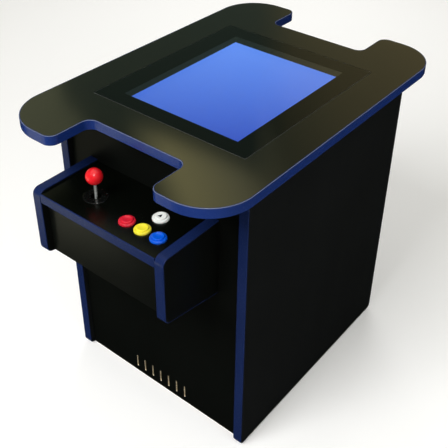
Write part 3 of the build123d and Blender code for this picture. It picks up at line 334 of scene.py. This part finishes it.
# ---------------------------------------------------------------- camera, in degrees and metres
CAMERA_AZIMUTH = 37.7
CAMERA_ELEVATION = 33.6
CAMERA_ROLL = 1.13
CAMERA_DISTANCE = 1.85
CAMERA_TARGET = (-0.047, 0.052, 0.456)
LENS = 61.55
SHIFT = (-0.019, -0.129)


# ---------------------------------------------------------------- glass and display
SCREEN_HALF = (0.1505, 0.1885)  # lit area, just past the opening in the mask
# the glow at the near and far ends: the screen's own blue with the glass's reflection painted in
GLOW_AND_REFLECTION_COLOURS = ((0.016, 0.064, 0.58), (0.148, 0.345, 1.20))
FIELD_REACH = 0.235             # from the display's middle to either end of its run of colour
PIXEL_PITCH = 0.294 * MM


def top_glass_material():
    """Clear float glass with a trace of green, a few wiping marks and a ground chamfer."""
    s = Surface("table_glass", IOR=1.5, Transmission_Weight=1.0)
    s.set(s.shader, "Base Color", (0.93, 0.97, 0.95))
    smear = s.noise(1.0, detail=6.0, roughness=0.6, vector=s.stretched((22.0, 7.0, 7.0)))
    edge = s.math("LESS_THAN", s.math("ABSOLUTE", s.facing((0, 0, 1))), 0.95)
    wiped = s.spread(smear, 0.0, 0.035, 0.45, 0.75)
    s.set(s.shader, "Roughness", s.math("MAXIMUM", wiped, s.math("MULTIPLY", edge, 0.5)))
    s.set(s.shader, "Transmission Weight", s.spread(edge, 1.0, 0.94))
    return s.material


def display_material():
    """Lit display: a plain blue field in a dark frame. Its glow is lighter at the end far from the camera,
    a painted reflection of the glass.
    """
    s = Surface("display_field", Roughness=0.35)
    near, far = GLOW_AND_REFLECTION_COLOURS
    x, y = s.axis("X"), s.axis("Y")
    gaze = math.radians(CAMERA_AZIMUTH)
    across = s.math("ADD", s.math("MULTIPLY", x, -math.sin(gaze)), s.math("MULTIPLY", y, math.cos(gaze)))
    # painted reflection: the glow runs from the near colour to the lighter far colour along the camera's
    # view
    field = s.mix(s.spread(across, 0.0, 1.0, -FIELD_REACH, FIELD_REACH), near, far)
    gap = s.math("ABSOLUTE", s.math("SUBTRACT", s.math("FRACT", s.math("DIVIDE", x, PIXEL_PITCH)), 0.5))
    grid = s.spread(gap, 1.0, 0.86, 0.42, 0.5)
    half_x, half_y = SCREEN_HALF
    inside = s.math("MULTIPLY", s.math("LESS_THAN", s.math("ABSOLUTE", x), half_x),
                    s.math("LESS_THAN", s.math("ABSOLUTE", y), half_y))
    top = s.math("GREATER_THAN", s.facing((0, 0, 1)), 0.5)
    lit = s.math("MULTIPLY", s.math("MULTIPLY", inside, top), grid)
    s.set(s.shader, "Base Color", (0.01, 0.01, 0.012))
    s.set(s.shader, "Emission Color", field)
    s.set(s.shader, "Emission Strength", lit)
    return s.material


# ---------------------------------------------------------------- finishes on the CAD pieces
def finish_cad():
    """Give every carried-over CAD piece its material."""
    black_plastic = matte_plastic("black_plastic", (0.006, 0.006, 0.006))
    nylon = matte_plastic("black_nylon", (0.014, 0.014, 0.015), grain=900.0, roughness=0.42)
    # the table molding gets the painted rim highlight
    table_vinyl = vinyl_molding("table_vinyl", (0.0065, 0.022, 0.122), rim=0.7)
    # painted shade: the cabinet's moldings are the same blue vinyl as the table's, given a darker copy of
    # its blue
    shaded_body_vinyl = vinyl_molding("shaded_body_vinyl", (0.0060, 0.014, 0.062), coat=0.0)
    fibre = fibreboard()
    zinc = plated_steel("zinc_plate", (0.58, 0.58, 0.56), 0.38)
    sheet = plated_steel("galvanised_sheet", (0.50, 0.51, 0.52), 0.45, spangle=90.0)
    finishes = {
        # side panels: lighter copy of the black, painted light; top and control panels below: darker
        # copies, painted shade
        "left_side_panel": laminate("laminate_left", (1, 0, 0), specular=0.4, black=PAINTED_LIT_SIDE_BLACK),
        "right_side_panel": laminate("laminate_right", (-1, 0, 0), specular=0.4, black=PAINTED_LIT_SIDE_BLACK),
        "front_panel": laminate("laminate_front", (0, 1, 0), specular=0.08, roughness=0.42, vents=True),
        "rear_panel": laminate("laminate_rear", (0, -1, 0), specular=0.08, roughness=0.42, vents=True),
        "table_top": laminate("laminate_top", roughness=0.38, specular=0.04, coat=1.0, black=PAINTED_SHADED_TOP_BLACK),
        "control_panels": laminate("laminate_panels", roughness=0.24, specular=0.25, black=PAINTED_SHADED_PANEL_BLACK),
        "box_cheeks": laminate("laminate_cheeks", specular=0.25),
        "box_fronts": laminate("laminate_box_fronts", specular=0.25, roughness=0.30),
        "box_floors": laminate("laminate_floors", roughness=0.5),
        "bottom_panel": fibre,
        "side_moldings": shaded_body_vinyl,
        "table_top_molding": table_vinyl,
        "cheek_moldings": shaded_body_vinyl,
        "panel_moldings": shaded_body_vinyl,
        "top_glass": top_glass_material(),
        "monitor_bezel": matte_plastic("black_mask", (0.001, 0.001, 0.001), roughness=0.55, specular=0.05),
        "monitor_screen": display_material(),
        "hinge_lid_leaves": zinc,
        "hinge_frame_leaves": zinc,
        "hinge_pins": turned_steel("hinge_pin_steel"),
        "lid_screws": zinc,
        "fixing_screws": zinc,
        "monitor_rails": sheet,
        "monitor_case": sheet,
        "power_supply": sheet,
        "stick_plates": sheet,
        "game_board": circuit_board(),
        "speaker": speaker_paint(),
        "button_nuts": nylon,
        "dust_washers": gloss_plastic("washer_black", (0.0035, 0.0038, 0.0035), roughness=0.16),
    }
    colours = {
        "red": (0.74, 0.016, 0.040),
        "yellow": (0.98, 0.86, 0.045),
        "blue": (0.002, 0.110, 0.76),
        "white": (0.93, 0.96, 0.94),
    }
    for colour, value in colours.items():
        rim = gloss_plastic(f"{colour}_rim", tuple(0.88 * c for c in value), roughness=0.2)
        finishes[f"{colour}_button_housings"] = rim
        cap = gloss_plastic(f"{colour}_cap", value)
        for player in ("p1", "p2"):
            finishes[f"{player}_{colour}_plunger"] = cap
    ball = gloss_plastic("stick_ball_red", (0.78, 0.010, 0.018), roughness=0.08)
    chrome = turned_steel("stick_shaft_steel", colour=(0.85, 0.90, 0.88), roughness=0.24, metallic=0.55)
    for player, side in (("p1", 1), ("p2", -1)):
        low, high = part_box(f"{player}_white_plunger")
        middle = [(a + b) / 2 for a, b in zip(low, high)]
        start = start_cap(f"{player}_start_cap", colours["white"], middle, side)
        finishes[f"{player}_white_plunger"] = start
        finishes[f"{player}_stick_ball"] = ball
        finishes[f"{player}_stick_shaft"] = chrome
        finishes[f"{player}_stick_spring"] = zinc
    for name, node in NODES.items():
        node.data.materials.clear()
        node.data.materials.append(finishes.get(name, black_plastic))


BEVELLED = {
    "left_side_panel": 0.5, "right_side_panel": 0.5, "front_panel": 0.4, "rear_panel": 0.4,
    "box_fronts": 0.5, "box_floors": 0.5, "box_cheeks": 0.5, "control_panels": 0.4, "table_top": 0.4,
}


def soften_edges():
    """Break the boards' sharp edges, as a router and a laminate trimmer leave them."""
    for name, width in BEVELLED.items():
        node = NODES[name]
        weld = node.modifiers.new("weld", "WELD")
        weld.merge_threshold = 0.01 * MM
        flat = node.modifiers.new("flat", "DECIMATE")
        flat.decimate_type = "DISSOLVE"
        flat.angle_limit = math.radians(1.0)
        bevel = node.modifiers.new("edge", "BEVEL")
        bevel.width = width * MM
        bevel.segments = 2
        bevel.limit_method = "ANGLE"
        bevel.angle_limit = math.radians(50)
        bevel.harden_normals = False


# ---------------------------------------------------------------- wiring seen when the lid is up
WIRE_RADIUS = 1.1 * MM
WIRE_SIDES = 8
WIRES = 9
BUNDLE_RADIUS = 3.6 * MM
TIE_THICKNESS = 1.2 * MM
TIE_WIDTH = 4.0 * MM
TIE_HEAD = (2.4 * MM, 0.5 * MM, 2.6 * MM)   # radius, and how far it runs into and out of the tie
TIE_SIDES = 20
TIE_HEAD_SIDES = 6
TIE_START = 8                   # steps of the path before the first tie and after the last
TIE_STEP = 14
PATH_STEPS = 12                 # between two points of the cable's way
LAY = 0.045                     # turn of the wires round the bundle at each step, in radians


def smooth_path(points, steps):
    """Points along a Catmull-Rom curve through the given points."""
    ends = [2 * points[0] - points[1], *points, 2 * points[-1] - points[-2]]
    path = []
    for i in range(1, len(ends) - 2):
        p0, p1, p2, p3 = ends[i - 1 : i + 3]
        for k in range(steps):
            t = k / steps
            path.append(
                0.5 * (2 * p1 + (p2 - p0) * t + (2 * p0 - 5 * p1 + 4 * p2 - p3) * t ** 2
                       + (3 * p1 - p0 - 3 * p2 + p3) * t ** 3)
            )
    path.append(points[-1])
    return path


def frames_along(path):
    """A side and an up vector at each point, carried along without twist."""
    side = (path[1] - path[0]).orthogonal().normalized()
    frames = []
    for i, point in enumerate(path):
        along = (path[min(i + 1, len(path) - 1)] - path[max(i - 1, 0)]).normalized()
        side = (side - along * side.dot(along)).normalized()
        frames.append((side, along.cross(side)))
    return frames


def tube(bm, path, radius, sides=WIRE_SIDES):
    """Add a closed tube along a path to a bmesh."""
    rings = []
    for point, (side, up) in zip(path, frames_along(path)):
        ring = []
        for k in range(sides):
            turn = 2 * math.pi * k / sides
            ring.append(bm.verts.new(point + radius * (math.cos(turn) * side + math.sin(turn) * up)))
        rings.append(ring)
    for a, b in zip(rings, rings[1:]):
        for k in range(sides):
            bm.faces.new((a[k], a[(k + 1) % sides], b[(k + 1) % sides], b[k]))
    bm.faces.new(rings[0][::-1])
    bm.faces.new(rings[-1])


def mesh_piece(name, bm, material, body):
    bmesh.ops.recalc_face_normals(bm, faces=bm.faces)
    mesh = bpy.data.meshes.new(name)
    bm.to_mesh(mesh)
    bm.free()
    mesh.materials.append(material)
    for face in mesh.polygons:
        face.use_smooth = True
    piece = bpy.data.objects.new(name, mesh)
    bpy.context.scene.collection.objects.link(piece)
    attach(piece, body)
    return piece


def bundle_path(side):
    """The cable's way from the game board up to the hole in an end panel. `side` is -1 or 1."""
    low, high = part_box("wiring_harness")
    board_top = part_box("game_board")[1][2]
    start_z = low[2] + BUNDLE_RADIUS + WIRE_RADIUS
    points = [
        (0.040, 0.071, start_z), (0.030, 0.120, board_top + 0.018), (0.020, 0.185, board_top + 0.075),
        (0.008, 0.207, 0.250), (0.0, 0.205, 0.380), (0.0, 0.222, 0.480), (0.0, 0.2635, 0.520),
        (0.0, high[1] - 2 * MM, 0.507),
    ]
    return smooth_path([Vector((side * x, side * y, z)) for x, y, z in points], PATH_STEPS)


def wire_material(name, colour):
    s = Surface(name, Roughness=0.38)
    print_bands = s.spread(s.noise(1.0, vector=s.stretched((40.0, 40.0, 160.0))), 0.8, 1.0)
    s.set(s.shader, "Base Color", s.mix(print_bands, tuple(0.7 * c for c in colour), colour))
    s.bump(s.noise(900.0), 0.05, 0.05 * MM)
    return s.material


def wiring():
    """Two bundles of coloured wires with black ties, in place of the plain harness."""
    wires = {
        "red_wires": (0.50, 0.015, 0.012),
        "yellow_wires": (0.62, 0.45, 0.02),
        "black_wires": (0.010, 0.010, 0.011),
    }
    made = []
    for group, (name, colour) in enumerate(wires.items()):
        bm = bmesh.new()
        for side in (-1, 1):
            path = bundle_path(side)
            frames = frames_along(path)
            for k in range(group, WIRES - 1, len(wires)):
                turn = 2 * math.pi * k / (WIRES - 1)
                run = []
                for i, (point, (aside, up)) in enumerate(zip(path, frames)):
                    lay = turn + LAY * i
                    outward = math.cos(lay) * aside + math.sin(lay) * up
                    run.append(point + (BUNDLE_RADIUS - WIRE_RADIUS) * outward)
                tube(bm, run, WIRE_RADIUS)
        made.append(mesh_piece(name, bm, wire_material(name, colour), "cabinet"))
    bm = bmesh.new()
    for side in (-1, 1):
        path = bundle_path(side)
        frames = frames_along(path)
        for place in range(TIE_START, len(path) - TIE_START, TIE_STEP):
            along = (path[place + 1] - path[place]).normalized()
            middle = path[place]
            half = along * TIE_WIDTH / 2
            tube(bm, [middle - half, middle + half], BUNDLE_RADIUS + TIE_THICKNESS / 2, TIE_SIDES)
            out = frames[place][0]
            head = middle + out * (BUNDLE_RADIUS + TIE_THICKNESS / 2)
            radius, inward, outward = TIE_HEAD
            tube(bm, [head - out * inward, head + out * outward], radius, TIE_HEAD_SIDES)
    made.append(mesh_piece("cable_ties", bm, matte_plastic("tie_nylon", (0.012, 0.012, 0.013)), "cabinet"))
    for piece in made:
        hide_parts("wiring_harness")


# ---------------------------------------------------------------- studio
FLOOR_REACH = 6.0
FLOOR_GLOW = 0.16               # seen by the camera alone
PATCH_X = (-0.62, -0.38)        # where the bright patch ends to the right
PATCH_Y = (-0.95, -0.80)        # and towards the object


def pale_floor():
    """A wide pale floor. In reflections it is dark, but for a bright patch in front and to the left."""
    mesh = bpy.data.meshes.new("floor")
    reach = FLOOR_REACH
    corners = [(-reach, -reach, 0), (reach, -reach, 0), (reach, reach, 0), (-reach, reach, 0)]
    mesh.from_pydata(corners, [], [(0, 1, 2, 3)])
    floor = bpy.data.objects.new("floor", mesh)
    bpy.context.scene.collection.objects.link(floor)
    s = Surface("pale_floor", Roughness=0.7)
    s.set(s.shader, "Specular IOR Level", 0.0)
    path = s.node("ShaderNodeLightPath")
    glossy, seen = path.outputs["Is Glossy Ray"], path.outputs["Is Camera Ray"]
    speckle = s.mix(s.noise(40.0, detail=4.0), (0.90, 0.90, 0.90), (0.87, 0.87, 0.87))
    patch = s.math("MULTIPLY", s.spread(s.axis("X"), 1.0, 0.0, *PATCH_X),
                   s.spread(s.axis("Y"), 1.0, 0.0, *PATCH_Y))
    mirrored = s.mix(patch, (0.012, 0.014, 0.012), (1.0, 1.0, 0.75))
    s.set(s.shader, "Base Color", s.mix(glossy, speckle, mirrored))
    s.set(s.shader, "Emission Color", (1.0, 1.0, 1.0))
    s.set(s.shader, "Emission Strength", s.math("MULTIPLY", seen, FLOOR_GLOW))
    floor.data.materials.append(s.material)


def area_light(name, place, target, size, power, colour=(1, 1, 1)):
    light = bpy.data.lights.new(name, "AREA")
    light.shape = "RECTANGLE"
    light.size, light.size_y = size
    light.energy = power
    light.color = colour
    lamp = bpy.data.objects.new(name, light)
    bpy.context.scene.collection.objects.link(lamp)
    lamp.location = place
    lamp.visible_glossy = False
    lamp.visible_transmission = False
    lamp.rotation_mode = "QUATERNION"
    lamp.rotation_quaternion = (Vector(target) - Vector(place)).to_track_quat("-Z", "Y")
    return lamp


# angles in degrees: a bearing counts to the left of +Y, a height from the horizon
WALL_LEVEL = 26.0               # height at which the wall's bearings hold
WALL_LEAN = 0.45                # how far its stripes lean to the right with each degree of height
CEILING = (48.0, 62.0)          # heights over which the wall passes into the ceiling
LOW_TOP = (31.6, 32.5)          # heights over which the dim low part ends
LOW_BEARING = 42.0              # where those heights hold
LOW_SLOPE = 0.35                # how far its top sinks with each degree of bearing
LOW_RIGHT = (36.0, 33.0)        # bearings over which it ends to the right
LOW_LEFT = (51.0, 52.5)         # and to the left
STUDIO_WALL = (
    # bearing, and the light that comes from there
    (4.0, (0.15, 0.15, 0.14)),
    (14.0, (0.40, 0.33, 0.16)),
    (20.0, (0.40, 0.33, 0.16)),
    (30.0, (0.28, 0.25, 0.13)),
    (36.0, (0.14, 0.15, 0.09)),
    (38.5, (0.45, 0.43, 0.24)),
    (41.0, (0.90, 0.86, 0.48)),
    (46.3, (1.60, 1.45, 0.66)),
    (47.6, (0.95, 0.90, 0.45)),
    (49.2, (0.09, 0.13, 0.09)),
    (51.4, (0.07, 0.11, 0.08)),
    (53.0, (0.44, 0.47, 0.28)),
    (62.0, (0.56, 0.58, 0.34)),
    (76.0, (0.17, 0.17, 0.16)),
)


def studio_world():
    """White to the camera. Reflections see a warm wall with a dark gap and a dim low part, and a bright
    ceiling over it."""
    world = bpy.data.worlds.new("studio")
    bpy.context.scene.world = world
    world.use_nodes = True
    tree = world.node_tree

    def link(value, socket):
        if isinstance(value, bpy.types.NodeSocket):
            tree.links.new(value, socket)
        else:
            socket.default_value = value

    def number(operation, a, b=0.0):
        made = tree.nodes.new("ShaderNodeMath")
        made.operation = operation
        link(a, made.inputs[0])
        link(b, made.inputs[1])
        return made.outputs[0]

    def ramp_up(value, start, end):
        """0 before the start, 1 after the end."""
        made = tree.nodes.new("ShaderNodeMapRange")
        link(value, made.inputs["Value"])
        made.inputs["From Min"].default_value = start
        made.inputs["From Max"].default_value = end
        return made.outputs[0]

    def mix(factor, a, b):
        made = tree.nodes.new("ShaderNodeMix")
        made.data_type = "RGBA"
        link(factor, made.inputs["Factor"])
        link(a, made.inputs[6])
        link(b, made.inputs[7])
        return made.outputs[2]

    direction = tree.nodes.new("ShaderNodeSeparateXYZ")
    link(tree.nodes.new("ShaderNodeTexCoord").outputs["Generated"], direction.inputs[0])
    x, y, z = direction.outputs
    degrees = 180 / math.pi
    bearing = number("MULTIPLY", number("ARCTAN2", number("MULTIPLY", x, -1.0), y), degrees)
    height = number("MULTIPLY", number("ARCSINE", z), degrees)
    lean = number("MULTIPLY", number("SUBTRACT", height, WALL_LEVEL), WALL_LEAN)
    slanted = number("ADD", bearing, lean)

    ramp = tree.nodes.new("ShaderNodeValToRGB")
    first, last = STUDIO_WALL[0][0], STUDIO_WALL[-1][0]
    link(number("DIVIDE", number("SUBTRACT", slanted, first), last - first), ramp.inputs[0])
    stops = ramp.color_ramp.elements
    for _ in range(len(STUDIO_WALL) - len(stops)):
        stops.new(0.5)
    for stop, (place, colour) in zip(stops, STUDIO_WALL):
        stop.position = (place - first) / (last - first)
        stop.color = (*colour, 1.0)
    ceiling = ramp_up(height, *CEILING)
    tilt = number("MULTIPLY", number("SUBTRACT", bearing, LOW_BEARING), LOW_SLOPE)
    raised = ramp_up(number("ADD", height, tilt), *LOW_TOP)
    right = ramp_up(bearing, *LOW_RIGHT)
    left = ramp_up(bearing, *LOW_LEFT)
    open_wall = number("MAXIMUM", raised, number("MAXIMUM", right, left))
    wall = mix(open_wall, (0.09, 0.13, 0.10, 1.0), ramp.outputs[0])
    reflected = mix(ceiling, wall, (0.9, 0.9, 0.86, 1.0))

    path = tree.nodes.new("ShaderNodeLightPath")
    indirect = mix(path.outputs["Is Glossy Ray"], (0.30, 0.29, 0.25, 1.0), reflected)
    background = tree.nodes["Background"]
    link(mix(path.outputs["Is Camera Ray"], indirect, (1.0, 1.0, 1.0, 1.0)), background.inputs["Color"])


def studio_lights():
    """Soft boxes that don't show in the polished faces, and one small glint that shows only there."""
    middle = (0, 0, 0.5)
    area_light("key", (-0.25, -2.2, 2.7), middle, (1.6, 1.6), 92)
    area_light("fill", (2.6, -0.6, 1.6), middle, (1.6, 1.6), 22)
    area_light("back", (-1.6, 2.6, 2.2), middle, (2.0, 1.2), 35)
    glint = area_light("glint", (0.80, -1.10, 1.95), (0, -0.36, 0.62), (0.25, 0.25), 16)
    glint.visible_glossy = True
    glint.visible_diffuse = False


def camera():
    azimuth = math.radians(CAMERA_AZIMUTH)
    elevation = math.radians(CAMERA_ELEVATION)
    roll = math.radians(CAMERA_ROLL)
    back = Vector((
        math.sin(azimuth) * math.cos(elevation),
        -math.cos(azimuth) * math.cos(elevation),
        math.sin(elevation),
    ))
    right = Vector((math.cos(azimuth), math.sin(azimuth), 0))
    up = back.cross(right)
    tilted_right = math.cos(roll) * right + math.sin(roll) * up
    tilted_up = math.cos(roll) * up - math.sin(roll) * right
    lens = bpy.data.cameras.new("camera")
    lens.lens = LENS
    lens.shift_x, lens.shift_y = SHIFT
    view = bpy.data.objects.new("camera", lens)
    bpy.context.scene.collection.objects.link(view)
    turn = Matrix((tilted_right, tilted_up, back)).transposed().to_4x4()
    view.matrix_world = Matrix.Translation(Vector(CAMERA_TARGET) + CAMERA_DISTANCE * back) @ turn
    bpy.context.scene.camera = view


finish_cad()
soften_edges()
wiring()
pale_floor()
studio_world()
studio_lights()
camera()
bpy.context.scene.view_settings.view_transform = "Standard"
bpy.context.scene.cycles.use_denoising = True
